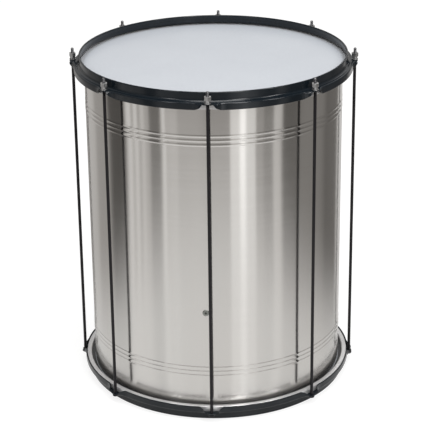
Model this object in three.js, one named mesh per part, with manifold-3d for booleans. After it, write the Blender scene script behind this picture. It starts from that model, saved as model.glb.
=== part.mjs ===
// Surdo: a deep two-headed drum with a rolled sheet shell, two pressed steel hoops and eight tension rods.
// Millimetres, +Z up. The origin is on the floor, at the middle of the bottom rim, and -Y is the front.
// Azimuths are counted from the front (-Y) towards the right (+X).
import * as THREE from 'three';
import * as BufferGeometryUtils from 'three/addons/utils/BufferGeometryUtils.js';
import Module from 'manifold-3d';

const wasm = await Module();
wasm.setup();

// Shell, a sheet rolled into a tube with its ends turned in
const shellDiameter = 400;
const shellLength = 500;
const shellWall = 1.2;
const bearingEdgeEase = 1.5;
const bearingFlangeWidth = 7;
const grooveCount = 3;
const groovePitch = 7;
const grooveDepth = 1.5;
const grooveGroupOffset = 62;

// Drum heads, a coated film with its edge folded down into the flesh hoop's channel
const headRecess = 14.2;
const filmThickness = 0.5;
const filmEndGap = 1.2;

// Flesh hoops, a light channel ring that opens towards the counter hoop
const fleshHoopStandoff = 6;
const fleshHoopWidth = 7.6;
const fleshHoopHeight = 8.6;
const fleshHoopWall = 1.4;
const fleshHoopBase = 1.6;

// Counter hoops, pressed from one sheet: hemmed rim, band, shelf and folded lip, with a flat ear at each rod
const hoopSheet = 1.5;
const hemGap = 0.2;
const hemHeight = 5.5;
const bandHeight = 13.9;
const bandOverlap = 2;
const shelfFillet = 2.2;
const lipBendRadius = 0.8;
const lipOverhang = 0.5;
const lipClearance = 0.9;
const earSideMargin = 1.8;
const earEndMargin = 1.7;
const earTransition = 12.6;
const earCrownRun = 8;
const edgeFoldShare = 0.6;
const ridgeSlopeShare = 0.8;

// Tension rods, their nuts and washers
const rodCount = 8;
const rodDiameter = 4.8;
const rodStandoff = 2.5;
const rodProud = 4.5;
const rodTipChamfer = 0.8;
const rodHeadDiameter = 9;
const rodHeadHeight = 3;
const rodHeadChamfer = 0.8;
const washerDiameter = 10;
const washerThickness = 1.2;
const nutFlats = 6;
const nutAcrossFlats = 9.5;
const nutHexHeight = 6;
const nutCollarDiameter = 7.9;
const nutCollarHeight = 3.2;
const firstNutTurn = THREE.MathUtils.degToRad(8);
const nutTurnStep = THREE.MathUtils.degToRad(15);

// Air vent, a rolled eyelet just left of the front rod
const ventHeight = 162;
const ventAzimuth = THREE.MathUtils.degToRad(-2.2);
const ventBore = 2.6;
const ventBarrelWall = 2.1;
const ventFlangeDiameter = 10.5;
const ventFlangeThickness = 0.9;
const ventClinchDiameter = 9;
const ventClinchThickness = 0.7;

// Fits
const seatGap = 0.3;
const rodClearance = 0.4;
const boreClearance = 0.3;
const cutOverrun = 2;

// Facet counts
const roundFacets = 40;
const rodFacets = 8;
const boreFacets = 10;
const lipStepsPerBay = 5;
const foldShares = [0, 0.3, 0.6, 1];

// Radii, from the shell outward
const shellRadius = shellDiameter / 2;
const fleshHoopInner = shellRadius + fleshHoopStandoff;
const fleshHoopOuter = fleshHoopInner + fleshHoopWidth;
const slotInner = fleshHoopInner + fleshHoopWall;
const lipOuter = fleshHoopOuter + lipClearance + hoopSheet;
const bandOuter = fleshHoopInner + bandOverlap;
const rodRadius = rodDiameter / 2;
const rodHoleRadius = rodRadius + rodClearance;
const rodCircleRadius = fleshHoopOuter + rodStandoff + rodRadius;
const earTipRadius = rodCircleRadius + rodHoleRadius + earEndMargin;

// Heights, measured inward from a rim, the same at both ends of the drum
const headFaceDepth = headRecess;
const shellEndDepth = headRecess + filmThickness + seatGap;
const shelfFaceDepth = bandHeight;
const shelfUnderDepth = bandHeight + hoopSheet;
const fleshHoopTopDepth = shelfUnderDepth + seatGap;
const fleshHoopEndDepth = fleshHoopTopDepth + fleshHoopHeight;
const channelFloorDepth = fleshHoopEndDepth - fleshHoopBase;
const lipEndDepth = fleshHoopEndDepth + lipOverhang;
const drumHeight = shellLength + 2 * shellEndDepth;
const washerSeat = drumHeight - shelfFaceDepth + seatGap;
const nutSeat = washerSeat + washerThickness + seatGap;

const shellFinish = new THREE.MeshStandardMaterial({ color: 0xc9c7c2, roughness: 0.32, metalness: 1 });
const hoopFinish = new THREE.MeshStandardMaterial({ color: 0x16171a, roughness: 0.38, metalness: 0.2 });
const fleshHoopFinish = new THREE.MeshStandardMaterial({ color: 0xd6d7da, roughness: 0.35, metalness: 1 });
const headFinish = new THREE.MeshStandardMaterial({ color: 0xe6e8ec, roughness: 0.55, metalness: 0 });
const rodFinish = new THREE.MeshStandardMaterial({ color: 0x1b1b1e, roughness: 0.4, metalness: 0.3 });
const zincFinish = new THREE.MeshStandardMaterial({ color: 0xb4b4b6, roughness: 0.3, metalness: 1 });

const surdo = new THREE.Group();

function addPiece(name, geometry, material) {
  const piece = new THREE.Mesh(geometry, material);
  piece.name = name;
  surdo.add(piece);
  return piece;
}

// A counterclockwise profile of [radius, height] pairs turned about +Z, its first facet edge at the front
function turned(profile, facets) {
  const outline = profile.map(([radius, height]) => new THREE.Vector2(radius, height));
  const geometry = new THREE.LatheGeometry(outline, facets);
  geometry.rotateX(Math.PI / 2);
  return geometry;
}

// The same, for a profile that closes on itself instead of meeting the axis
function turnedRing(profile, facets) {
  return turned([...profile, profile[0]], facets);
}

function toSolid(geometry) {
  const bare = geometry.clone();
  bare.deleteAttribute('normal');
  bare.deleteAttribute('uv');
  const merged = BufferGeometryUtils.mergeVertices(bare);
  const vertProperties = new Float32Array(merged.attributes.position.array);
  const triVerts = new Uint32Array(merged.index.array);
  return new wasm.Manifold(new wasm.Mesh({ numProp: 3, vertProperties, triVerts }));
}

function toGeometry(solid) {
  const mesh = solid.getMesh();
  const geometry = new THREE.BufferGeometry();
  geometry.setAttribute('position', new THREE.BufferAttribute(mesh.vertProperties, 3));
  geometry.setIndex(new THREE.BufferAttribute(mesh.triVerts, 1));
  return geometry;
}

// An upright cylinder whose flats, not its corners, lie at the radius, so that a round pin clears it
function boreTool(radius, bottom, top, facets) {
  const cornerRadius = radius / Math.cos(Math.PI / facets);
  const tool = new THREE.CylinderGeometry(cornerRadius, cornerRadius, top - bottom, facets);
  tool.rotateX(Math.PI / 2);
  tool.translate(0, 0, (top + bottom) / 2);
  return tool;
}

function rodAzimuth(rod) {
  return (rod * 2 * Math.PI) / rodCount;
}

function atAzimuth(azimuth, radius, height) {
  return new THREE.Vector3(radius * Math.sin(azimuth), -radius * Math.cos(azimuth), height);
}

// Shell

// The rolled grooves near one end: ridge, valley, ridge and so on, up the wall
function grooveProfile(middle, wallRadius) {
  const bottom = middle - (grooveCount * groovePitch) / 2;
  const points = [];
  for (let step = 0; step <= 2 * grooveCount; step += 1) {
    const inValley = step % 2 === 1;
    points.push([inValley ? wallRadius - grooveDepth : wallRadius, bottom + (step * groovePitch) / 2]);
  }
  return points;
}

function makeShell() {
  const inner = shellRadius - shellWall;
  const flangeEnd = shellRadius - bearingFlangeWidth;
  const lowGrooves = grooveGroupOffset;
  const highGrooves = shellLength - grooveGroupOffset;
  const outside = [
    [flangeEnd, 0],
    [shellRadius - bearingEdgeEase, 0],
    [shellRadius, bearingEdgeEase],
    ...grooveProfile(lowGrooves, shellRadius),
    ...grooveProfile(highGrooves, shellRadius),
    [shellRadius, shellLength - bearingEdgeEase],
    [shellRadius - bearingEdgeEase, shellLength],
    [flangeEnd, shellLength],
  ];
  const inside = [
    [flangeEnd, shellLength - shellWall],
    [inner, shellLength - shellWall],
    ...grooveProfile(highGrooves, inner).reverse(),
    ...grooveProfile(lowGrooves, inner).reverse(),
    [inner, shellWall],
    [flangeEnd, shellWall],
  ];
  const ventHoleRadius = ventBore / 2 + ventBarrelWall + seatGap;
  const drill = boreTool(ventHoleRadius, inner - cutOverrun, shellRadius + cutOverrun, boreFacets);
  drill.rotateX(Math.PI / 2);
  drill.rotateZ(ventAzimuth);
  drill.translate(0, 0, ventHeight);
  const tube = toSolid(turnedRing([...outside, ...inside], roundFacets));
  return toGeometry(tube.subtract(toSolid(drill)));
}

// Air vent: flange outside, barrel through the wall, clinched over inside. Its own +Z points outward.
function makeVentEyelet() {
  const bore = ventBore / 2;
  const barrel = bore + ventBarrelWall;
  const flange = ventFlangeDiameter / 2;
  const clinch = ventClinchDiameter / 2;
  const innerWallFace = (shellRadius - shellWall) * Math.cos(Math.PI / roundFacets) - seatGap;
  const flangeFace = shellRadius;
  return turnedRing([
    [bore, innerWallFace - ventClinchThickness],
    [clinch, innerWallFace - ventClinchThickness],
    [clinch, innerWallFace],
    [barrel, innerWallFace],
    [barrel, flangeFace],
    [flange, flangeFace],
    [flange, flangeFace + ventFlangeThickness / 2],
    [barrel, flangeFace + ventFlangeThickness],
    [bore, flangeFace + ventFlangeThickness],
  ], boreFacets);
}

// Heads and flesh hoops, drawn at the top end with the rim at height zero

function makeHead() {
  const face = -headFaceDepth;
  const under = face - filmThickness;
  const foldInner = slotInner + seatGap;
  const foldOuter = foldInner + filmThickness;
  const foldFace = -fleshHoopTopDepth;
  const foldUnder = foldFace - filmThickness;
  const foldEnd = filmEndGap - channelFloorDepth;
  const edge = shellRadius - bearingEdgeEase + filmThickness;
  return turned([
    [0, under],
    [edge, under],
    [fleshHoopInner, foldUnder],
    [foldInner, foldUnder],
    [foldInner, foldEnd],
    [foldOuter, foldEnd],
    [foldOuter, foldFace],
    [fleshHoopInner, foldFace],
    [edge, face],
    [0, face],
  ], roundFacets);
}

function makeFleshHoop() {
  const outerTop = -fleshHoopTopDepth;
  const innerTop = outerTop - filmThickness - seatGap;
  const end = -fleshHoopEndDepth;
  const slotOuter = fleshHoopOuter - fleshHoopWall;
  const slotFloor = -channelFloorDepth;
  return turnedRing([
    [fleshHoopInner, end],
    [fleshHoopOuter, end],
    [fleshHoopOuter, outerTop],
    [slotOuter, outerTop],
    [slotOuter, slotFloor],
    [slotInner, slotFloor],
    [slotInner, innerTop],
    [fleshHoopInner, innerTop],
  ], roundFacets);
}

// Counter hoop

// The strip beyond the shelf bends down to a lip, or runs on flat as an ear. The fold's share is 1 at the
// lip and 0 at the ear. In between, the bend moves out along the strip as it opens, so its ridge crosses
// the strip aslant, and the free edge hangs straight down before the ridge is back at the shelf.
function lipStrip(foldShare) {
  const half = hoopSheet / 2;
  const bendStart = lipOuter - hoopSheet - lipBendRadius;
  const halfBend = ((lipBendRadius + half) * Math.PI) / 4;
  const lipLength = 2 * halfBend + lipEndDepth - shelfUnderDepth - lipBendRadius;
  const earLength = earTipRadius - bendStart;
  const stripLength = THREE.MathUtils.lerp(earLength, lipLength, foldShare);
  const ridgeRun = THREE.MathUtils.lerp(earCrownRun, halfBend, foldShare);
  const edgeSlope = (THREE.MathUtils.smoothstep(foldShare, 0, edgeFoldShare) * Math.PI) / 2;
  const ridgeSlope = edgeSlope * THREE.MathUtils.lerp(ridgeSlopeShare, 1 / 2, foldShare);
  const steps = [
    { length: 0, slope: 0 },
    { length: ridgeRun, slope: ridgeSlope },
    { length: halfBend, slope: edgeSlope },
    { length: stripLength - ridgeRun - halfBend, slope: edgeSlope },
  ];
  let radius = bendStart;
  let height = -(shelfFaceDepth + half);
  let lastSlope = 0;
  const upper = [];
  const lower = [];
  for (const { length, slope } of steps) {
    const heading = (lastSlope + slope) / 2;
    radius += length * Math.cos(heading);
    height -= length * Math.sin(heading);
    lastSlope = slope;
    upper.push([radius + half * Math.sin(slope), height + half * Math.cos(slope)]);
    lower.push([radius - half * Math.sin(slope), height - half * Math.cos(slope)]);
  }
  return { upper, lower };
}

// Section of the hoop at one azimuth, counterclockwise, with the rim at height zero
function hoopSection(foldShare) {
  const { upper, lower } = lipStrip(foldShare);
  const bandInner = bandOuter - hoopSheet;
  const hemInner = bandOuter - 2 * hoopSheet - hemGap;
  const filletTop = -(shelfFaceDepth - shelfFillet);
  const filletEnd = bandOuter + shelfFillet;
  return [
    [hemInner, -hemHeight],
    [bandInner, -hemHeight],
    [bandInner, filletTop],
    [filletEnd, -shelfUnderDepth],
    ...lower,
    ...upper.reverse(),
    [filletEnd, -shelfFaceDepth],
    [bandOuter, filletTop],
    [bandOuter, 0],
    [hemInner, 0],
  ];
}

// Stations round the hoop: flat across each ear, folding over the transition, a lip as far as the next ear
function hoopStations() {
  const earHalfWidth = washerDiameter / 2 + earSideMargin;
  const earHalfAngle = Math.asin(earHalfWidth / rodCircleRadius);
  const foldedHalfAngle = Math.asin((earHalfWidth + earTransition) / rodCircleRadius);
  const bayAngle = (2 * Math.PI) / rodCount;
  const transition = foldShares.map((foldShare) => (
    { foldShare, offset: THREE.MathUtils.lerp(earHalfAngle, foldedHalfAngle, foldShare) }
  ));
  const stations = [];
  for (let rod = 0; rod < rodCount; rod += 1) {
    const start = rodAzimuth(rod);
    const end = start + bayAngle;
    for (const { foldShare, offset } of transition) {
      stations.push({ azimuth: start + offset, foldShare });
    }
    for (let step = 1; step < lipStepsPerBay; step += 1) {
      const share = step / lipStepsPerBay;
      const azimuth = THREE.MathUtils.lerp(start + foldedHalfAngle, end - foldedHalfAngle, share);
      stations.push({ azimuth, foldShare: 1 });
    }
    for (const { foldShare, offset } of [...transition].reverse()) {
      stations.push({ azimuth: end - offset, foldShare });
    }
  }
  return stations;
}

function makeCounterHoop() {
  const stations = hoopStations();
  const sectionSize = hoopSection(1).length;
  const positions = [];
  const indices = [];
  stations.forEach(({ azimuth, foldShare }, station) => {
    const nextStation = (station + 1) % stations.length;
    hoopSection(foldShare).forEach(([radius, height], point) => {
      const nextPoint = (point + 1) % sectionSize;
      const here = station * sectionSize + point;
      const above = station * sectionSize + nextPoint;
      const beside = nextStation * sectionSize + point;
      const across = nextStation * sectionSize + nextPoint;
      positions.push(...atAzimuth(azimuth, radius, height).toArray());
      indices.push(here, beside, across, here, across, above);
    });
  });
  const pressing = new THREE.BufferGeometry();
  pressing.setAttribute('position', new THREE.Float32BufferAttribute(positions, 3));
  pressing.setIndex(indices);
  const holeBottom = -shelfUnderDepth - cutOverrun;
  const holeTop = cutOverrun - shelfFaceDepth;
  let hoop = toSolid(pressing);
  for (let rod = 0; rod < rodCount; rod += 1) {
    const hole = boreTool(rodHoleRadius, holeBottom, holeTop, boreFacets);
    hole.translate(...atAzimuth(rodAzimuth(rod), rodCircleRadius, 0).toArray());
    hoop = hoop.subtract(toSolid(hole));
  }
  return toGeometry(hoop);
}

// Rods, washers and nuts, each drawn upright on its own axis

function makeRod() {
  const headTop = shelfFaceDepth - seatGap;
  const headBottom = headTop - rodHeadHeight;
  const tip = drumHeight + rodProud;
  const headRadius = rodHeadDiameter / 2;
  return turned([
    [0, headBottom],
    [headRadius - rodHeadChamfer, headBottom],
    [headRadius, headBottom + rodHeadChamfer],
    [headRadius, headTop],
    [rodRadius, headTop],
    [rodRadius, tip - rodTipChamfer],
    [rodRadius - rodTipChamfer, tip],
    [0, tip],
  ], rodFacets);
}

function makeWasher() {
  const bore = (rodRadius + boreClearance) / Math.cos(Math.PI / boreFacets);
  const rim = washerDiameter / 2;
  return turnedRing([
    [bore, 0],
    [rim, 0],
    [rim, washerThickness],
    [bore, washerThickness],
  ], boreFacets);
}

function makeNut() {
  const top = nutCollarHeight + nutHexHeight;
  const hexCornerRadius = nutAcrossFlats / 2 / Math.cos(Math.PI / nutFlats);
  const hex = new THREE.CylinderGeometry(hexCornerRadius, hexCornerRadius, nutHexHeight, nutFlats);
  hex.rotateX(Math.PI / 2);
  hex.translate(0, 0, nutCollarHeight + nutHexHeight / 2);
  const collarRadius = nutCollarDiameter / 2;
  const collarTop = nutCollarHeight + nutHexHeight / 2;
  const collar = new THREE.CylinderGeometry(collarRadius, collarRadius, collarTop, boreFacets);
  collar.rotateX(Math.PI / 2);
  collar.translate(0, 0, collarTop / 2);
  const bore = boreTool(rodRadius + boreClearance, -cutOverrun, top + cutOverrun, boreFacets);
  return toGeometry(toSolid(hex).add(toSolid(collar)).subtract(toSolid(bore)));
}

// Assembly

const shell = addPiece('shell', makeShell(), shellFinish);
shell.position.z = shellEndDepth;

const ventEyelet = addPiece('vent_eyelet', makeVentEyelet(), zincFinish);
ventEyelet.position.z = shellEndDepth + ventHeight;
ventEyelet.rotation.set(Math.PI / 2, 0, ventAzimuth, 'ZYX');

const counterHoop = makeCounterHoop();
const endPieces = [
  { name: 'head', geometry: makeHead(), material: headFinish },
  { name: 'flesh_hoop', geometry: makeFleshHoop(), material: fleshHoopFinish },
  { name: 'counter_hoop', geometry: counterHoop, material: hoopFinish },
];
for (const { name, geometry, material } of endPieces) {
  const topPiece = addPiece(`top_${name}`, geometry, material);
  topPiece.position.z = drumHeight;
  const bottomPiece = addPiece(`bottom_${name}`, geometry, material);
  bottomPiece.rotation.x = Math.PI;
}

const rodGeometry = makeRod();
const washerGeometry = makeWasher();
const nutGeometry = makeNut();
// Each nut has stopped at a turn of its own, a step on from its neighbour
for (let rod = 0; rod < rodCount; rod += 1) {
  const azimuth = rodAzimuth(rod);
  const number = rod + 1;
  const tensionRod = addPiece(`tension_rod_${number}`, rodGeometry, rodFinish);
  tensionRod.position.copy(atAzimuth(azimuth, rodCircleRadius, 0));
  const washer = addPiece(`washer_${number}`, washerGeometry, zincFinish);
  washer.position.copy(atAzimuth(azimuth, rodCircleRadius, washerSeat));
  const nut = addPiece(`nut_${number}`, nutGeometry, zincFinish);
  nut.position.copy(atAzimuth(azimuth, rodCircleRadius, nutSeat));
  nut.rotation.z = azimuth + firstNutTurn + rod * nutTurnStep;
}

export default surdo;
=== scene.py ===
"""Dresses the surdo: a smooth detailed piece for each CAD node, its finishes, soft studio light and a camera.

Lengths are in millimetres until a piece is made, and its mesh is in metres. +Z is up and -Y is the front.
Azimuths are counted from the front towards the right (+X). Depths are counted inward from a rim.
"""
import math

import bmesh
import bpy
from mathutils import Matrix, Vector


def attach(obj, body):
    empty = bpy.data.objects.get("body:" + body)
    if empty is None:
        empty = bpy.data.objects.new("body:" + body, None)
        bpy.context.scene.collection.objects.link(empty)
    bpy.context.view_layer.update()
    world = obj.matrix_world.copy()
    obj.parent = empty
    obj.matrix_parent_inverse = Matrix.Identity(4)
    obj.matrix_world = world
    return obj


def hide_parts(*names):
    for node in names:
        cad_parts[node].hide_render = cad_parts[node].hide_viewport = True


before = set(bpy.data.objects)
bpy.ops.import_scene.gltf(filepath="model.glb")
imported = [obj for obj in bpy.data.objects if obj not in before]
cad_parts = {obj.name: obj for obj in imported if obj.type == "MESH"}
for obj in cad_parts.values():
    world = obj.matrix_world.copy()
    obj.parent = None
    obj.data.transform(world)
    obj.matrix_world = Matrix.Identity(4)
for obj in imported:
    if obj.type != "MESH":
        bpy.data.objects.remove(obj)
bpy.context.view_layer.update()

MM = 0.001

# Shell
SHELL_RADIUS = 200
SHELL_LENGTH = 500
SHELL_WALL = 1.2
EDGE_ROUND = 1.5
FLANGE_WIDTH = 7
BEAD_COUNT = 3
BEAD_PITCH = 7
BEAD_WIDTH = 5.4
BEAD_RISE = 0.4
BEAD_GROUP_OFFSET = 62

# Heads, which set the drum's height from rim to rim
SEAT_GAP = 0.3
FILM = 0.5
HEAD_DEPTH = 14.2
SHELL_LOW = HEAD_DEPTH + FILM + SEAT_GAP
SHELL_HIGH = SHELL_LOW + SHELL_LENGTH
DRUM_HEIGHT = SHELL_HIGH + SHELL_LOW

# Counter hoops
SHEET = 1.5
BAND_OUTER = 208
BAND_INNER = BAND_OUTER - SHEET
HEM_INNER = 204.8
HEM_DEPTH = 5.5
SHELF_DEPTH = 13.9
SHELF_UNDER_DEPTH = SHELF_DEPTH + SHEET
FILLET = 4.2
LIP_OUTER = 216
LIP_BEND = 0.8
LIP_OVERHANG = 0.5
EAR_TIP_RADIUS = 223
EAR_HALF_WIDTH = 6.8
EAR_CORNER = 2.6
EAR_TRANSITION = 12.6
EAR_CROWN_RUN = 8
EDGE_FOLD_SHARE = 0.6
CORNER_FADE_SHARE = 0.35
EAR_RIDGE_SHARE = 0.8
LIP_RIDGE_SHARE = 0.5
RIDGE_CURL = 2

# Flesh hoops, under the counter hoops' shelves
FLESH_INNER = 206
FLESH_OUTER = 213.6
FLESH_WALL = 1.4
FLESH_BASE = 1.6
FLESH_HEIGHT = 8.6
FLESH_TOP_DEPTH = SHELF_UNDER_DEPTH + SEAT_GAP
FLESH_END_DEPTH = FLESH_TOP_DEPTH + FLESH_HEIGHT
LIP_END_DEPTH = FLESH_END_DEPTH + LIP_OVERHANG
FOLD_INNER = 207.7
FOLD_END_GAP = 1.2
FOLD_END_DEPTH = FLESH_END_DEPTH - FLESH_BASE - FOLD_END_GAP

# Where the heads' white coat ends
COAT_EDGE = 200.2
COAT_FADE = 0.6

# Rods, washers and nuts
ROD_COUNT = 8
ROD_CIRCLE = 218.5
ROD_RADIUS = 2.4
ROD_HOLE_RADIUS = 2.8
ROD_PROUD = 4.5
ROD_HIGH = DRUM_HEIGHT + ROD_PROUD
ROD_HEAD_RADIUS = 4.5
ROD_HEAD_HEIGHT = 3
ROD_HEAD_HIGH = SHELF_DEPTH - SEAT_GAP
ROD_LOW = ROD_HEAD_HIGH - ROD_HEAD_HEIGHT
ROD_CHAMFER = 0.8
THREAD_LENGTH = 30
THREAD_LOW = ROD_HIGH - THREAD_LENGTH
THREAD_PITCH = 1.058
THREAD_DEPTH = 0.5
THREAD_RUN_IN = 2 * THREAD_PITCH
THREAD_TIP = 0.25
WASHER_RADIUS = 5
WASHER_BORE_RADIUS = 2.7
WASHER_THICKNESS = 1.2
WASHER_LOW = DRUM_HEIGHT - SHELF_DEPTH + SEAT_GAP
WASHER_HIGH = WASHER_LOW + WASHER_THICKNESS
NUT_LOW = WASHER_HIGH + SEAT_GAP
NUT_SIDES = 6
NUT_COLLAR_HEIGHT = 3.2
NUT_HEX_HEIGHT = 6
NUT_COLLAR_RADIUS = 3.95
NUT_FLAT_RADIUS = 4.75
NUT_BORE_RADIUS = 2.55
FIRST_NUT_TURN = math.radians(8)
NUT_TURN_STEP = math.radians(15)

# Air vent
VENT_RISE = 162
VENT_HEIGHT = SHELL_LOW + VENT_RISE
VENT_AZIMUTH = math.radians(-2.2)
VENT_BORE = 0.9
VENT_BARREL = 3.4
VENT_HOLE = 3.55
VENT_FLANGE = 5.1
VENT_CLINCH = 4.5

# Facets and extra mesh rings, which keep long faces short
ROUND = 256
ROD_ROUND = 24
SMALL_ROUND = 48
THREAD_STEPS = 8
RINGS_BY_THE_VENT = (-40, -12, 12, 40)
HEAD_RINGS = (60, 120, 170)
ROD_RINGS = (150, 300, 450)

# How far a cut or a joined piece runs past the face it meets
OVERRUN = 2


def lerp(start, end, share):
    return start + (end - start) * share


def smoothstep(share):
    share = min(max(share, 0), 1)
    return share * share * (3 - 2 * share)


def arc(center, radius, start, end, steps):
    """Points of an arc in a section of (radius, height) points, from one angle in degrees to another."""
    points = []
    for step in range(steps + 1):
        angle = math.radians(lerp(start, end, step / steps))
        points.append((center[0] + radius * math.cos(angle), center[1] + radius * math.sin(angle)))
    return points


def at_azimuth(azimuth, radius, height):
    return (radius * math.sin(azimuth), -radius * math.cos(azimuth), height)


def rod_azimuth(number):
    return (number - 1) * 2 * math.pi / ROD_COUNT


# Mesh making


def joined_sections(sections):
    """Vertices and faces of a ring: closed sections, each joined to the next and the last to the first."""
    vertices = [point for section in sections for point in section]
    size = len(sections[0])
    faces = []
    for station in range(len(sections)):
        here = station * size
        beside = (station + 1) % len(sections) * size
        for point in range(size):
            above = (point + 1) % size
            faces.append((here + point, beside + point, beside + above, here + above))
    return vertices, faces


def turned(profile, segments):
    """Vertices and faces of a profile turned about Z: it closes on itself, or starts and ends on the axis."""
    on_axis = profile[0][0] == 0
    rim = profile[1:-1] if on_axis else profile
    sections = []
    for segment in range(segments):
        azimuth = 2 * math.pi * segment / segments
        sections.append([at_azimuth(azimuth, radius, height) for radius, height in rim])
    vertices, faces = joined_sections(sections)
    if on_axis:
        size = len(rim)
        faces = [face for face in faces if face[0] % size != size - 1]
        low, high = len(vertices), len(vertices) + 1
        vertices += [(0, 0, profile[0][1]), (0, 0, profile[-1][1])]
        for segment in range(segments):
            beside = (segment + 1) % segments
            faces.append((low, beside * size, segment * size))
            faces.append((high, segment * size + size - 1, beside * size + size - 1))
    return vertices, faces


def make_mesh(name, vertices, faces, place=Matrix()):
    """A mesh in metres from vertices in millimetres, facing out."""
    mesh = bpy.data.meshes.new(name)
    mesh.from_pydata(vertices, [], faces)
    work = bmesh.new()
    work.from_mesh(mesh)
    bmesh.ops.transform(work, matrix=Matrix.Scale(MM, 4) @ place, verts=work.verts)
    bmesh.ops.recalc_face_normals(work, faces=work.faces)
    work.to_mesh(mesh)
    work.free()
    return mesh


def placed_copy(mesh, place):
    """A copy of a mesh in metres, moved and turned by a placement in millimetres."""
    copy = mesh.copy()
    copy.transform(Matrix.Scale(MM, 4) @ place @ Matrix.Scale(1 / MM, 4))
    return copy


def combined(mesh, tool, operation):
    """The first mesh with the second cut out of it, added to it, or kept only where both are."""
    body = bpy.data.objects.new("boolean_body", mesh)
    other = bpy.data.objects.new("boolean_tool", tool)
    for obj in (body, other):
        bpy.context.scene.collection.objects.link(obj)
    step = body.modifiers.new("boolean", "BOOLEAN")
    step.operation = operation
    step.solver = "EXACT"
    step.object = other
    result = bpy.data.meshes.new_from_object(body.evaluated_get(bpy.context.evaluated_depsgraph_get()))
    for obj in (body, other):
        bpy.data.objects.remove(obj)
    return result


def smooth(mesh, sharp_angle=32):
    """Smooth faces, with sharp edges where they meet at more than the angle in degrees."""
    work = bmesh.new()
    work.from_mesh(mesh)
    for face in work.faces:
        face.smooth = True
    for edge in work.edges:
        edge.smooth = not edge.is_manifold or edge.calc_face_angle() < math.radians(sharp_angle)
    work.to_mesh(mesh)
    work.free()


def add_piece(name, mesh, material, node, body):
    """A piece that stands for a CAD node and rides on its body."""
    smooth(mesh)
    mesh.materials.clear()
    mesh.materials.append(material)
    piece = bpy.data.objects.new(name, mesh)
    bpy.context.scene.collection.objects.link(piece)
    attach(piece, body)
    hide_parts(node)
    return piece


# Materials


class Graph:
    """The nodes of a material or of the world."""

    def __init__(self, tree):
        self.nodes = tree.nodes
        self.links = tree.links

    def feed(self, socket, value):
        """Links an output to a socket, or sets a number, vector or colour on it."""
        if isinstance(value, bpy.types.NodeSocket):
            self.links.new(value, socket)
        elif socket.type == "RGBA":
            socket.default_value = (*value, 1)
        else:
            socket.default_value = value

    def math(self, operation, first, second):
        node = self.nodes.new("ShaderNodeMath")
        node.operation = operation
        self.feed(node.inputs[0], first)
        self.feed(node.inputs[1], second)
        return node.outputs["Value"]

    def vector_math(self, operation, first, second=(0, 0, 0)):
        node = self.nodes.new("ShaderNodeVectorMath")
        node.operation = operation
        self.feed(node.inputs[0], first)
        self.feed(node.inputs[1], second)
        is_number = operation in ("DISTANCE", "DOT_PRODUCT", "LENGTH")
        return node.outputs["Value" if is_number else "Vector"]

    def split(self, vector):
        """The X, Y and Z of a vector."""
        node = self.nodes.new("ShaderNodeSeparateXYZ")
        self.feed(node.inputs["Vector"], vector)
        return node.outputs

    def ranged(self, value, low, high, start=0.3, end=0.7, easing="LINEAR"):
        """A value from start to end spread from low to high. The defaults suit noise."""
        node = self.nodes.new("ShaderNodeMapRange")
        node.interpolation_type = easing
        self.feed(node.inputs["Value"], value)
        for socket, number in (("From Min", start), ("From Max", end), ("To Min", low), ("To Max", high)):
            self.feed(node.inputs[socket], number)
        return node.outputs["Result"]

    def eased(self, value, low, high, start, end):
        """The same, easing out of the low end and into the high one."""
        return self.ranged(value, low, high, start, end, easing="SMOOTHSTEP")

    def mixed(self, share, first, second):
        """A colour between two colours."""
        node = self.nodes.new("ShaderNodeMix")
        node.data_type = "RGBA"
        colors = [socket for socket in node.inputs if socket.type == "RGBA"]
        self.feed(colors[0], first)
        self.feed(colors[1], second)
        self.feed(node.inputs["Factor"], share)
        return next(socket for socket in node.outputs if socket.type == "RGBA")


class Finish(Graph):
    """A node material built up around one Principled shader."""

    def __init__(self, name, color, roughness, metallic=0.0, **sockets):
        self.material = bpy.data.materials.new(name)
        self.material.use_nodes = True
        super().__init__(self.material.node_tree)
        self.shader = self.nodes["Principled BSDF"]
        self.drive("Base Color", color)
        self.drive("Roughness", roughness)
        self.drive("Metallic", metallic)
        for socket, value in sockets.items():
            self.drive(socket.replace("_", " "), value)
        self.coordinates = self.nodes.new("ShaderNodeTexCoord").outputs["Object"]

    def drive(self, socket, value):
        self.feed(self.shader.inputs[socket], value)

    def noise(self, scale, detail):
        """Noise from 0 to 1, with its scale per metre along each axis."""
        mapping = self.nodes.new("ShaderNodeMapping")
        self.feed(mapping.inputs["Scale"], scale)
        self.feed(mapping.inputs["Vector"], self.coordinates)
        texture = self.nodes.new("ShaderNodeTexNoise")
        self.feed(texture.inputs["Scale"], 1)
        self.feed(texture.inputs["Detail"], detail)
        self.feed(texture.inputs["Vector"], mapping.outputs["Vector"])
        return texture.outputs["Fac"]

    def height(self):
        return self.split(self.coordinates)["Z"]

    def reach(self):
        """Distance from the drum's axis."""
        return self.vector_math("LENGTH", self.vector_math("MULTIPLY", self.coordinates, (1, 1, 0)))

    def bump(self, value, depth):
        """Bump of a depth in millimetres."""
        node = self.nodes.new("ShaderNodeBump")
        self.feed(node.inputs["Strength"], 1)
        self.feed(node.inputs["Distance"], depth * MM)
        self.feed(node.inputs["Height"], value)
        self.drive("Normal", node.outputs["Normal"])

    def brushed_round(self, rotation):
        """Points the anisotropic highlight round the drum, turned by a share of a full turn."""
        tangent = self.nodes.new("ShaderNodeTangent")
        tangent.direction_type = "RADIAL"
        tangent.axis = "Z"
        self.drive("Tangent", tangent.outputs["Tangent"])
        self.drive("Anisotropic Rotation", rotation)


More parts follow.
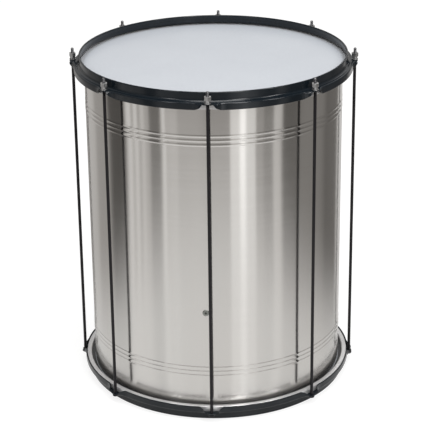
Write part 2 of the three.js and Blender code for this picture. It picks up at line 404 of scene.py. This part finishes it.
def brushed_shell():
    """Sheet aluminium brushed round the drum: its fine streaks blur reflections up and down, not sideways."""
    finish = Finish("shell_brushed", (0.72, 0.705, 0.68), 0.16, metallic=1, Anisotropic=1)
    finish.brushed_round(rotation=0.25)
    fine = finish.noise((4, 4, 2400), detail=2)
    broad = finish.noise((2, 2, 220), detail=3)
    cloud = finish.noise((9, 9, 3), detail=3)
    streaks = finish.math("MULTIPLY", fine, broad)
    finish.drive("Roughness", finish.ranged(streaks, 0.15, 0.18, start=0.1, end=0.45))
    streak_tone = finish.ranged(streaks, 0, 1, start=0.1, end=0.45)
    tone = finish.mixed(streak_tone, (0.70, 0.685, 0.66), (0.73, 0.715, 0.69))
    finish.drive("Base Color", finish.mixed(finish.ranged(cloud, 0, 0.4), tone, (0.69, 0.66, 0.63)))
    return finish.material


def black_hoop():
    """Satin black powder coat: faint orange peel and uneven gloss."""
    finish = Finish("hoop_black_coat", (0.008, 0.012, 0.017), 0.16, Specular_IOR_Level=0.43)
    peel = finish.noise((900, 900, 900), detail=1)
    patches = finish.noise((45, 45, 60), detail=4)
    grains = finish.noise((2600, 2600, 2600), detail=2)
    finish.drive("Roughness", finish.ranged(patches, 0.12, 0.21))
    grain_tone = finish.ranged(grains, 0, 1, start=0.35, end=0.75)
    finish.drive("Base Color", finish.mixed(grain_tone, (0.005, 0.009, 0.013), (0.010, 0.015, 0.021)))
    finish.bump(peel, depth=0.02)
    return finish.material


def black_rod():
    """Black rod, worn to bare grey metal above the ears, where the nuts run."""
    finish = Finish("rod_black", (0.01, 0.009, 0.011), 0.32, Specular_IOR_Level=0.3)
    draw = finish.noise((700, 700, 30), detail=3)
    wear = finish.noise((900, 900, 900), detail=3)
    bare = finish.ranged(finish.height(), 0, 1, start=WASHER_LOW * MM, end=WASHER_HIGH * MM)
    metal = finish.mixed(finish.ranged(wear, 0, 1), (0.10, 0.10, 0.105), (0.3, 0.3, 0.31))
    black = finish.mixed(finish.ranged(draw, 0, 1), (0.008, 0.007, 0.009), (0.014, 0.0125, 0.015))
    finish.drive("Base Color", finish.mixed(bare, black, metal))
    finish.drive("Metallic", bare)
    finish.drive("Roughness", finish.ranged(draw, 0.28, 0.42))
    finish.bump(draw, depth=0.01)
    return finish.material


def zinc(name, color):
    """Bright zinc plating, a little cloudy and grained."""
    finish = Finish(name, color, 0.4, metallic=1)
    cloud = finish.noise((260, 260, 260), detail=4)
    grain = finish.noise((2600, 2600, 2600), detail=2)
    finish.drive("Roughness", finish.ranged(cloud, 0.34, 0.5))
    dull_share = 0.8
    dull = tuple(value * dull_share for value in color)
    finish.drive("Base Color", finish.mixed(finish.ranged(cloud, 0, 1), dull, color))
    finish.bump(grain, depth=0.008)
    return finish.material


def coated_film(name, collar):
    """White coated film: fine sprayed grain, faint clouds, and a collar past the shell's edge in its own
    colour: uncoated film on the top head, painted shade of the gap by the flesh hoop on the bottom one.
    """
    finish = Finish(name, (0.555, 0.588, 0.635), 0.25, Specular_IOR_Level=0.42)
    grain = finish.noise((1500, 1500, 1500), detail=3)
    cloud = finish.noise((14, 14, 14), detail=4)
    coat = finish.mixed(finish.ranged(cloud, 0, 1), (0.545, 0.577, 0.625), (0.565, 0.598, 0.645))
    # Past the coat's edge the collar colour takes over: on the bottom head this is painted shade, not a real
    # film colour.
    bare = finish.ranged(finish.reach(), 0, 1, start=COAT_EDGE * MM, end=(COAT_EDGE + COAT_FADE) * MM)
    finish.drive("Base Color", finish.mixed(bare, coat, collar))
    finish.drive("Roughness", finish.ranged(grain, 0.2, 0.3))
    finish.bump(grain, depth=0.004)
    return finish.material


def satin_aluminium():
    """Flesh hoop: light rolled aluminium with faint lines along the ring."""
    finish = Finish("flesh_hoop_satin", (0.86, 0.86, 0.87), 0.22, metallic=0.5)
    lines = finish.noise((10, 10, 2400), detail=2)
    cloud = finish.noise((60, 60, 60), detail=3)
    finish.drive("Roughness", finish.ranged(lines, 0.17, 0.28))
    finish.drive("Base Color", finish.mixed(finish.ranged(cloud, 0, 1), (0.83, 0.83, 0.84), (0.9, 0.9, 0.91)))
    finish.bump(lines, depth=0.01)
    return finish.material


# Shell and vent


def bead_line(middle, wall):
    """Low rolled beads across one stretch of wall, going up: each swells out and back in a smooth wave."""
    steps = 12
    bottom = middle - BEAD_COUNT * BEAD_PITCH / 2
    points = []
    for bead in range(BEAD_COUNT):
        center = bottom + (bead + 0.5) * BEAD_PITCH
        for step in range(steps + 1):
            offset = lerp(-1, 1, step / steps)
            rise = BEAD_RISE * (0.5 + 0.5 * math.cos(math.pi * offset))
            points.append((wall + rise, center + offset * BEAD_WIDTH / 2))
    return points


def vent_place():
    """Turns a piece drawn upright so that it points outward through the wall at the vent."""
    outward = Matrix.Rotation(math.pi / 2, 4, "X")
    return Matrix.Translation((0, 0, VENT_HEIGHT)) @ Matrix.Rotation(VENT_AZIMUTH, 4, "Z") @ outward


def shell_mesh():
    """A tube with beads near its ends, ends turned inward as flanges, and the vent's hole."""
    inner = SHELL_RADIUS - SHELL_WALL
    flange_end = SHELL_RADIUS - FLANGE_WIDTH
    edge = SHELL_RADIUS - EDGE_ROUND
    low_beads = SHELL_LOW + BEAD_GROUP_OFFSET
    high_beads = SHELL_HIGH - BEAD_GROUP_OFFSET
    low_inside = SHELL_LOW + SHELL_WALL
    high_inside = SHELL_HIGH - SHELL_WALL
    profile = [(flange_end, SHELL_LOW)]
    profile += arc((edge, SHELL_LOW + EDGE_ROUND), EDGE_ROUND, -90, 0, steps=6)
    profile += bead_line(low_beads, SHELL_RADIUS)
    profile += [(SHELL_RADIUS, VENT_HEIGHT + offset) for offset in RINGS_BY_THE_VENT]
    profile += bead_line(high_beads, SHELL_RADIUS)
    profile += arc((edge, SHELL_HIGH - EDGE_ROUND), EDGE_ROUND, 0, 90, steps=6)
    profile += [(flange_end, SHELL_HIGH), (flange_end, high_inside), (inner, high_inside)]
    profile += reversed(bead_line(high_beads, inner))
    profile += reversed(bead_line(low_beads, inner))
    profile += [(inner, low_inside), (flange_end, low_inside)]
    tube = make_mesh("shell_surface", *turned(profile, ROUND))
    start, end = inner - OVERRUN, SHELL_RADIUS + OVERRUN
    drill = [(0, start), (VENT_HOLE, start), (VENT_HOLE, end), (0, end)]
    return combined(tube, make_mesh("vent_drill", *turned(drill, SMALL_ROUND), vent_place()), "DIFFERENCE")


def vent_mesh():
    """An eyelet: a domed flange outside the wall, rolled into its bore, and a clinched edge inside."""
    face = SHELL_RADIUS
    wall_gap = 0.35
    inside = SHELL_RADIUS - SHELL_WALL - wall_gap
    clinch, throat, dome, mouth = 0.3, 0.4, 1.1, 1.2
    inner_end = inside - 2 * clinch
    profile = arc((VENT_CLINCH - clinch, inside - clinch), clinch, -90, 90, steps=6)
    profile += [(VENT_BARREL, inside), (VENT_BARREL, face)]
    profile += arc((VENT_FLANGE - dome, face), dome, 0, 90, steps=8)
    profile += arc((VENT_BORE + mouth, face + dome - mouth), mouth, 90, 180, steps=8)
    profile += arc((VENT_BORE + throat, inner_end + throat), throat, 180, 270, steps=4)
    return make_mesh("vent_rolled", *turned(profile, SMALL_ROUND), vent_place())


# Heads and flesh hoops, drawn at the top, and turned over for the bottom


def end_place(end):
    """Places a piece drawn with its rim at height zero: at the drum's top, or turned over at the floor."""
    if end == "top":
        return Matrix.Translation((0, 0, DRUM_HEIGHT))
    return Matrix.Rotation(math.pi, 4, "X")


def head_profile():
    """Film over the bearing edge, out to the flesh hoop and folded down into its channel."""
    face = -HEAD_DEPTH
    under = face - FILM
    edge = SHELL_RADIUS - EDGE_ROUND
    fold_face = -FLESH_TOP_DEPTH
    fold_outer = FOLD_INNER + FILM
    bend = 0.9
    last_ring_inset = 8
    rings = [0, *HEAD_RINGS, edge - last_ring_inset, edge]
    out_and_down = ((2.2, 0.42), (1, 0.12))
    profile = [(radius, under) for radius in rings]
    profile += [(FLESH_INNER, fold_face - FILM)]
    profile += arc((fold_outer - bend, fold_face - bend), bend - FILM, 90, 0, steps=5)
    profile += [(FOLD_INNER, -FOLD_END_DEPTH), (fold_outer, -FOLD_END_DEPTH)]
    profile += arc((fold_outer - bend, fold_face - bend), bend, 0, 90, steps=7)
    profile += [(FLESH_INNER, fold_face)]
    profile += [(edge + out, face - down) for out, down in out_and_down]
    profile += [(radius, face) for radius in reversed(rings)]
    return profile


def flesh_hoop_profile():
    """A channel that opens towards the counter hoop, with rounded outer corners."""
    high = -FLESH_TOP_DEPTH
    inner_high = high - FILM - SEAT_GAP
    low = -FLESH_END_DEPTH
    slot_outer = FLESH_OUTER - FLESH_WALL
    slot_inner = FLESH_INNER + FLESH_WALL
    floor = low + FLESH_BASE
    shoulder = 2.2
    corner = 1.1
    small = 0.35
    profile = arc((FLESH_INNER + shoulder, low + shoulder), shoulder, 180, 270, steps=10)
    profile += arc((FLESH_OUTER - corner, low + corner), corner, -90, 0, steps=8)
    profile += arc((FLESH_OUTER - small, high - small), small, 0, 90, steps=4)
    profile += arc((slot_outer + small, high - small), small, 90, 180, steps=4)
    profile += [(slot_outer, floor), (slot_inner, floor)]
    profile += arc((slot_inner - small, inner_high - small), small, 0, 90, steps=4)
    profile += arc((FLESH_INNER + small, inner_high - small), small, 90, 180, steps=4)
    return profile


# Counter hoops


def lip_strip(fold_share, trim):
    """Upper and lower face of the strip beyond the shelf: a lip at share 1, a flat ear at share 0.

    In between, the fold moves out along the strip as it opens, so its ridge runs aslant across the strip.
    The strip ends in a rounded edge, and trim shortens it, to round the ear's corners.
    """
    half = SHEET / 2
    bend_start = LIP_OUTER - SHEET - LIP_BEND
    half_bend = (LIP_BEND + half) * math.pi / 4
    lip_length = 2 * half_bend + LIP_END_DEPTH - SHELF_UNDER_DEPTH - LIP_BEND
    length = lerp(EAR_TIP_RADIUS - bend_start, lip_length, fold_share) - trim - half
    edge_slope = smoothstep(fold_share / EDGE_FOLD_SHARE) * math.pi / 2
    ridge_slope = edge_slope * lerp(EAR_RIDGE_SHARE, LIP_RIDGE_SHARE, fold_share)
    curl = lerp(RIDGE_CURL, 1, fold_share)
    least_end = 0.01
    ridge_run = min(lerp(EAR_CROWN_RUN, half_bend, fold_share), length - half_bend - least_end)
    end_run = length - ridge_run - half_bend
    ridge_steps, bend_steps, end_steps = 8, 5, 4
    stretches = [(ridge_run, ridge_steps), (half_bend, bend_steps), (end_run, end_steps)]
    radius = bend_start
    height = -(SHELF_DEPTH + half)
    run = 0
    last_slope = 0
    upper = [(radius, height + half)]
    lower = [(radius, height - half)]
    for stretch, steps in stretches:
        for _ in range(steps):
            run += stretch / steps
            if run <= ridge_run:
                slope = ridge_slope * (run / ridge_run) ** curl
            else:
                slope = lerp(ridge_slope, edge_slope, min((run - ridge_run) / half_bend, 1))
            heading = (slope + last_slope) / 2
            radius += stretch / steps * math.cos(heading)
            height -= stretch / steps * math.sin(heading)
            upper.append((radius + half * math.sin(slope), height + half * math.cos(slope)))
            lower.append((radius - half * math.sin(slope), height - half * math.cos(slope)))
            last_slope = slope
    tilt = -math.degrees(last_slope)
    edge = arc((radius, height), half, tilt - 90, tilt + 90, steps=6)
    return lower[:-1] + edge + upper[-2::-1]


def hoop_section(fold_share, trim):
    """The pressed section, counterclockwise from the hem's inner foot, with the rim at height zero."""
    hem = (BAND_OUTER - HEM_INNER) / 2
    fillet_center = (BAND_OUTER + FILLET, FILLET - SHELF_DEPTH)
    foot = 0.5
    crease = 0.1
    section = arc((HEM_INNER + foot, foot - HEM_DEPTH), foot, 180, 270, steps=4)
    section += [(BAND_INNER - crease, -HEM_DEPTH), (BAND_INNER, -HEM_DEPTH - crease)]
    section += arc(fillet_center, FILLET + SHEET, 180, 270, steps=7)
    section += lip_strip(fold_share, trim)
    section += arc(fillet_center, FILLET, 270, 180, steps=7)
    section += arc((HEM_INNER + hem, -hem), hem, 0, 180, steps=12)
    return section


def hoop_stations():
    """(azimuth, fold share, trim) round the hoop: finest across each ear's corners and transitions."""
    half_ear = math.asin(EAR_HALF_WIDTH / ROD_CIRCLE)
    half_fold = math.asin((EAR_HALF_WIDTH + EAR_TRANSITION) / ROD_CIRCLE)
    bay = 2 * math.pi / ROD_COUNT
    corner_steps, fold_steps, lip_steps = 6, 18, 16
    offsets = []
    for step in range(corner_steps):
        offset = EAR_HALF_WIDTH - EAR_CORNER * math.cos(math.pi / 2 * step / corner_steps)
        inset = offset - (EAR_HALF_WIDTH - EAR_CORNER)
        trim = EAR_CORNER - math.sqrt(EAR_CORNER ** 2 - inset ** 2)
        offsets.append((math.asin(offset / ROD_CIRCLE), 0, trim))
    for step in range(fold_steps + 1):
        share = step / fold_steps
        trim = EAR_CORNER * max(1 - share / CORNER_FADE_SHARE, 0) ** 2
        offsets.append((lerp(half_ear, half_fold, share), share, trim))
    stations = []
    for number in range(1, ROD_COUNT + 1):
        start = rod_azimuth(number)
        stations.append((start, 0, 0))
        stations += [(start + offset, share, trim) for offset, share, trim in offsets]
        for step in range(1, lip_steps):
            stations.append((start + lerp(half_fold, bay - half_fold, step / lip_steps), 1, 0))
        stations += [(start + bay - offset, share, trim) for offset, share, trim in reversed(offsets)]
    return stations


def counter_hoop_mesh():
    """The section swept round the drum, with a hole for a rod through each ear."""
    sections = []
    for azimuth, share, trim in hoop_stations():
        section = hoop_section(share, trim)
        sections.append([at_azimuth(azimuth, radius, height) for radius, height in section])
    hoop = make_mesh("pressed_hoop", *joined_sections(sections))
    low, high = -SHELF_UNDER_DEPTH - OVERRUN, OVERRUN - SHELF_DEPTH
    drill = [(0, low), (ROD_HOLE_RADIUS, low), (ROD_HOLE_RADIUS, high), (0, high)]
    vertices, faces = turned(drill, SMALL_ROUND)
    tools, tool_faces = [], []
    for number in range(1, ROD_COUNT + 1):
        x, y, _ = at_azimuth(rod_azimuth(number), ROD_CIRCLE, 0)
        start = len(tools)
        tools += [(x + vertex[0], y + vertex[1], vertex[2]) for vertex in vertices]
        tool_faces += [tuple(start + index for index in face) for face in faces]
    return combined(hoop, make_mesh("rod_drills", tools, tool_faces), "DIFFERENCE")


# Rods, washers and nuts, each drawn on its own axis


def thread_rings():
    """Heights of the thread's rings and how deep the thread is there, from 0 to 1."""
    rings = []
    height = THREAD_LOW
    while height < ROD_HIGH - THREAD_TIP:
        rings.append((height, min((height - THREAD_LOW) / THREAD_RUN_IN, 1)))
        height += THREAD_PITCH / THREAD_STEPS
    return rings


def rod_profile():
    """The rod's outline from the foot of its small turned head up to the thread."""
    edge = 0.2
    thread_margin = 1
    foot = ROD_HEAD_RADIUS - ROD_CHAMFER
    profile = [(foot, ROD_LOW)]
    profile += arc((foot, ROD_LOW + ROD_CHAMFER), ROD_CHAMFER, -60, 0, steps=4)
    profile += arc((ROD_HEAD_RADIUS - edge, ROD_HEAD_HIGH - edge), edge, 0, 90, steps=3)
    profile += [(ROD_RADIUS + edge, ROD_HEAD_HIGH), (ROD_RADIUS, ROD_HEAD_HIGH + edge)]
    profile += [(ROD_RADIUS, height) for height in (*ROD_RINGS, THREAD_LOW - thread_margin)]
    return profile


def rod_mesh():
    """A rod with a small turned head below and a right-hand thread cut into its upper end."""
    profile = rod_profile()
    rings = thread_rings()
    tip = ROD_RADIUS - ROD_CHAMFER
    thread_flat = 0.15
    sections = []
    for segment in range(ROD_ROUND):
        azimuth = 2 * math.pi * segment / ROD_ROUND
        section = [at_azimuth(azimuth, radius, height) for radius, height in profile]
        for height, depth in rings:
            phase = (height / THREAD_PITCH - segment / ROD_ROUND) % 1
            wave = abs(2 * phase - 1) * (1 + 2 * thread_flat) - thread_flat
            thread = THREAD_DEPTH * depth * min(max(wave, 0), 1)
            chamfer = tip + ROD_HIGH - height
            section.append(at_azimuth(azimuth, min(chamfer, ROD_RADIUS - thread), height))
        section.append(at_azimuth(azimuth, tip, ROD_HIGH))
        sections.append(section)
    vertices, faces = joined_sections(sections)
    size = len(sections[0])
    faces = [face for face in faces if face[0] % size != size - 1]
    for ring in (0, size - 1):
        faces.append(tuple(segment * size + ring for segment in range(ROD_ROUND)))
    return vertices, faces


def washer_profile():
    edge = 0.25
    high = WASHER_THICKNESS
    profile = [(WASHER_BORE_RADIUS, 0)]
    profile += arc((WASHER_RADIUS - edge, edge), edge, -90, 0, steps=3)
    profile += arc((WASHER_RADIUS - edge, high - edge), edge, 0, 90, steps=3)
    profile += [(WASHER_BORE_RADIUS, high)]
    return profile


def hexagon_mesh(low, high):
    """The nut's hexagon, both ends chamfered by a cone."""
    chamfer_inset = 0.15
    chamfer_slope = math.radians(30)
    corner = NUT_FLAT_RADIUS / math.cos(math.pi / NUT_SIDES)
    face = NUT_FLAT_RADIUS - chamfer_inset
    reach = corner + OVERRUN
    rise = (reach - face) * math.tan(chamfer_slope)
    hexagon = [(0, low), (corner, low), (corner, high), (0, high)]
    cone = [(0, low), (face, low), (reach, low + rise), (reach, high - rise), (face, high), (0, high)]
    hexagon = make_mesh("hexagon", *turned(hexagon, NUT_SIDES))
    return combined(hexagon, make_mesh("cone", *turned(cone, SMALL_ROUND)), "INTERSECT")


def nut_mesh():
    """A chamfered hexagon, a round collar under it and a bore countersunk at both ends."""
    low, high = NUT_COLLAR_HEIGHT, NUT_COLLAR_HEIGHT + NUT_HEX_HEIGHT
    edge = 0.3
    collar = [(0, 0)]
    collar += arc((NUT_COLLAR_RADIUS - edge, edge), edge, -90, 0, steps=4)
    collar += [(NUT_COLLAR_RADIUS, low + OVERRUN), (0, low + OVERRUN)]
    collar = make_mesh("collar", *turned(collar, SMALL_ROUND))
    nut = combined(hexagon_mesh(low, high), collar, "UNION")
    sink = 0.45
    mouth = NUT_BORE_RADIUS + sink + OVERRUN
    drill = [(0, -OVERRUN), (mouth, -OVERRUN), (NUT_BORE_RADIUS, sink)]
    drill += [(NUT_BORE_RADIUS, high - sink), (mouth, high + OVERRUN), (0, high + OVERRUN)]
    return combined(nut, make_mesh("bore", *turned(drill, SMALL_ROUND)), "DIFFERENCE")


# Assembly

DRUM = "drum"

hoop_finish = black_hoop()
rod_finish = black_rod()
zinc_finish = zinc("fittings_zinc", (0.6, 0.6, 0.6))
flesh_finish = satin_aluminium()
film_finishes = {
    "top": coated_film("film_coated", collar=(0.5, 0.52, 0.55)),
    # The bottom collar's near-black is painted shade, standing for the shaded gap between the shell and the
    # flesh hoop.
    "bottom": coated_film("film_bottom", collar=(0.04, 0.042, 0.046)),
}

add_piece("shell_brushed", shell_mesh(), brushed_shell(), "shell", DRUM)
add_piece("vent_rolled", vent_mesh(), zinc("vent_zinc", (0.34, 0.355, 0.33)), "vent_eyelet", DRUM)

hoop_drawn = counter_hoop_mesh()
for end in ("top", "bottom"):
    place = end_place(end)
    head = make_mesh(f"{end}_film", *turned(head_profile(), ROUND), place)
    add_piece(f"{end}_film", head, film_finishes[end], f"{end}_head", DRUM)
    channel = make_mesh(f"{end}_channel", *turned(flesh_hoop_profile(), ROUND), place)
    add_piece(f"{end}_channel", channel, flesh_finish, f"{end}_flesh_hoop", DRUM)
    hoop = placed_copy(hoop_drawn, place)
    add_piece(f"{end}_pressed_hoop", hoop, hoop_finish, f"{end}_counter_hoop", DRUM)

rod_drawn = rod_mesh()
nut_drawn = nut_mesh()
for number in range(1, ROD_COUNT + 1):
    azimuth = rod_azimuth(number)
    stand = Matrix.Translation(at_azimuth(azimuth, ROD_CIRCLE, 0))
    rod = make_mesh(f"rod_{number}", *rod_drawn, stand)
    add_piece(f"rod_{number}", rod, rod_finish, f"tension_rod_{number}", DRUM)
    node = f"washer_{number}"
    seat = stand @ Matrix.Translation((0, 0, WASHER_LOW))
    washer = make_mesh(f"washer_ring_{number}", *turned(washer_profile(), SMALL_ROUND), seat)
    add_piece(f"washer_ring_{number}", washer, zinc_finish, node, node)
    node = f"nut_{number}"
    turn = Matrix.Rotation(azimuth + FIRST_NUT_TURN + (number - 1) * NUT_TURN_STEP, 4, "Z")
    nut = placed_copy(nut_drawn, stand @ Matrix.Translation((0, 0, NUT_LOW)) @ turn)
    add_piece(f"hex_nut_{number}", nut, zinc_finish, node, node)


# Camera, fitted to the photograph: its angles are in radians, and from here on lengths are in metres

CAMERA_DISTANCE = 2.6854
CAMERA_TARGET_HEIGHT = 0.2294
CAMERA_ELEVATION = 0.396
CAMERA_AZIMUTH = 0.041
CAMERA_YAW = -0.0001
CAMERA_PITCH = 0.0091
CAMERA_ROLL = -0.012
FOCAL_PIXELS = 1665.5
PHOTO_SIZE = 430
SENSOR_MM = 36


def turned_pair(first, second, angle):
    """Two axes of the camera, both turned by an angle from the first towards the second."""
    turned_first = first * math.cos(angle) + second * math.sin(angle)
    turned_second = second * math.cos(angle) - first * math.sin(angle)
    return turned_first, turned_second


def add_camera():
    right = Vector((1, 0, 0))
    forward = Vector((0, math.cos(CAMERA_ELEVATION), -math.sin(CAMERA_ELEVATION)))
    up = right.cross(forward)
    forward, right = turned_pair(forward, right, CAMERA_YAW)
    forward, up = turned_pair(forward, up, CAMERA_PITCH)
    right, up = turned_pair(right, up, CAMERA_ROLL)
    height = CAMERA_TARGET_HEIGHT + CAMERA_DISTANCE * math.sin(CAMERA_ELEVATION)
    axes = Matrix((right, up, -forward)).transposed().to_4x4()
    place = Matrix.Translation((0, -CAMERA_DISTANCE * math.cos(CAMERA_ELEVATION), height)) @ axes
    data = bpy.data.cameras.new("camera")
    data.sensor_width = SENSOR_MM
    data.lens = FOCAL_PIXELS / PHOTO_SIZE * SENSOR_MM
    camera = bpy.data.objects.new("camera", data)
    camera.matrix_world = Matrix.Rotation(CAMERA_AZIMUTH, 4, "Z") @ place
    bpy.context.scene.collection.objects.link(camera)
    bpy.context.scene.camera = camera


# World: an even light on the drum, and a studio that only its reflections show

AMBIENT = 0.5
STUDIO_BASE = 0.385
STUDIO_WARMTH = (1, 0.95, 0.9)
WHITE = (1, 1, 1)
# The studio falls from its full level to its high share between these heights of a ray, from -1 down to 1 up
STUDIO_FALL = (-0.24, 0.08)
STUDIO_HIGH_SHARE = 0.52
# A wall behind the drum brightens upward from the horizon to this level, reached at this height of a ray
BACK_WALL = 0.3
BACK_WALL_TOP = 0.3
# Bright cards and dark flags: azimuth, half width and softness in degrees, and strength
STUDIO_CARDS = (
    (-95, 10.5, 2.5, -0.29),
    (-75, 6.5, 1.2, 0.44),
    (-74, 1, 1, -0.4),
    (-61, 4.5, 0.8, 0.1),
    (-63.5, 2, 1, 0.2),
    (-51, 5.2, 0.8, -0.2),
    (-36.5, 6.5, 1.5, 0.11),
    (-43, 1.6, 0.8, 0.36),
    (-24, 16, 6, 0.08),
    (27.5, 11.4, 0.6, 0.49),
    (27.3, 1.9, 1.9, 0.54),
    (51, 4.5, 1.5, -0.13),
    (59.8, 4, 0.8, 0.24),
    (106, 41, 1.2, -0.24),
    (100, 17, 6, 0.1),
    (134, 9, 3, 0.02),
    (158, 10, 3, 0.3),
    (-144, 13, 3, 0.16),
    (-172, 10, 4, -0.08),
)


def studio_level(graph, direction):
    """How bright the studio is along a ray."""
    height = graph.split(direction)["Z"]
    level_ray = graph.vector_math("NORMALIZE", graph.vector_math("MULTIPLY", direction, (1, 1, 0)))
    total = STUDIO_BASE
    for azimuth, half_width, softness, strength in STUDIO_CARDS:
        middle = at_azimuth(math.radians(azimuth), 1, 0)
        outer = math.cos(math.radians(half_width + softness))
        inner = math.cos(math.radians(half_width - softness))
        facing = graph.vector_math("DOT_PRODUCT", level_ray, middle)
        total = graph.math("ADD", graph.eased(facing, 0, strength, outer, inner), total)
    total = graph.math("MULTIPLY", total, graph.eased(height, 1, STUDIO_HIGH_SHARE, *STUDIO_FALL))
    rise = graph.eased(height, 0, BACK_WALL, 0, BACK_WALL_TOP)
    behind = graph.eased(graph.split(direction)["Y"], 0, 1, 0, 1)
    return graph.math("ADD", total, graph.math("MULTIPLY", rise, behind))


def add_world():
    """The even light, the studio in reflections, and white for the camera and behind clear things."""
    world = bpy.data.worlds.new("studio")
    bpy.context.scene.world = world
    world.use_nodes = True
    graph = Graph(world.node_tree)
    direction = graph.nodes.new("ShaderNodeTexCoord").outputs["Generated"]
    path = graph.nodes.new("ShaderNodeLightPath").outputs
    studio = graph.math("MULTIPLY", studio_level(graph, direction), path["Is Glossy Ray"])
    white = graph.math("MAXIMUM", path["Is Camera Ray"], path["Is Transmission Ray"])
    ambient = graph.math("MULTIPLY", AMBIENT, path["Is Diffuse Ray"])
    strength = graph.math("ADD", graph.math("ADD", studio, white), ambient)
    background = graph.nodes["Background"]
    graph.feed(background.inputs["Strength"], strength)
    graph.feed(background.inputs["Color"], graph.mixed(strength, STUDIO_WARMTH, WHITE))


# Floor

FLOOR_SIZE = 30
FLOOR_TONE = (0.3, 0.3, 0.3)
FLOOR_GLOW = 0.82
FLOOR_GLOSSY_GLOW = 0.6
# In reflections the floor clears from this share to wholly between these distances from its middle
FLOOR_CLEAR_SHARE = 0.2
FLOOR_REACH = (0.38, 0.96)
FLOOR_MIDDLE = (0, -0.4, 0)


def add_floor():
    """A white floor that keeps a soft shadow. In reflections it fades into the studio away from the drum."""
    bpy.ops.mesh.primitive_plane_add(size=FLOOR_SIZE)
    floor = bpy.context.object
    floor.name = "floor"
    material = bpy.data.materials.new("floor_white")
    material.use_nodes = True
    graph = Graph(material.node_tree)
    graph.nodes.clear()
    path = graph.nodes.new("ShaderNodeLightPath").outputs
    diffuse = graph.nodes.new("ShaderNodeBsdfDiffuse")
    graph.feed(diffuse.inputs["Color"], FLOOR_TONE)
    camera_glow = graph.math("MULTIPLY", path["Is Camera Ray"], FLOOR_GLOW)
    glossy_glow = graph.math("MULTIPLY", path["Is Glossy Ray"], FLOOR_GLOSSY_GLOW)
    glow = graph.nodes.new("ShaderNodeEmission")
    graph.feed(glow.inputs["Strength"], graph.math("ADD", camera_glow, glossy_glow))
    surface = graph.nodes.new("ShaderNodeAddShader")
    graph.feed(surface.inputs[0], diffuse.outputs["BSDF"])
    graph.feed(surface.inputs[1], glow.outputs["Emission"])
    position = graph.nodes.new("ShaderNodeNewGeometry").outputs["Position"]
    away = graph.vector_math("DISTANCE", position, FLOOR_MIDDLE)
    clear_share = graph.eased(away, FLOOR_CLEAR_SHARE, 1, *FLOOR_REACH)
    clear = graph.nodes.new("ShaderNodeBsdfTransparent")
    mix = graph.nodes.new("ShaderNodeMixShader")
    graph.feed(mix.inputs["Fac"], graph.math("MULTIPLY", clear_share, path["Is Glossy Ray"]))
    graph.feed(mix.inputs[1], surface.outputs["Shader"])
    graph.feed(mix.inputs[2], clear.outputs["BSDF"])
    graph.feed(graph.nodes.new("ShaderNodeOutputMaterial").inputs["Surface"], mix.outputs["Shader"])
    floor.data.materials.append(material)


# Lamps: name, azimuth in degrees, distance and height in metres, width and length in metres, power in watts
LAMPS = (
    ("left_strip", -38, 2.2, 2.4, 0.4, 1.2, 7),
    ("front_strip", 26, 2.2, 2.4, 0.4, 1.2, 16),
    ("right_strip", 58, 2.2, 2.4, 0.4, 1.2, 13),
    ("top_box", 10, 0.5, 3.0, 1.2, 1.2, 30),
    ("back_box", 172, 2.6, 2.4, 1.6, 1.0, 6),
)
LAMP_AIM = Vector((0, 0, 0.3))


def add_lamps():
    for name, azimuth, distance, height, width, length, power in LAMPS:
        data = bpy.data.lights.new(name, "AREA")
        data.shape = "RECTANGLE"
        data.size = width
        data.size_y = length
        data.energy = power
        lamp = bpy.data.objects.new(name, data)
        lamp.location = at_azimuth(math.radians(azimuth), distance, height)
        lamp.rotation_euler = (LAMP_AIM - lamp.location).to_track_quat("-Z", "Y").to_euler()
        bpy.context.scene.collection.objects.link(lamp)


add_camera()
add_world()
add_floor()
add_lamps()
bpy.context.scene.view_settings.view_transform = "Standard"
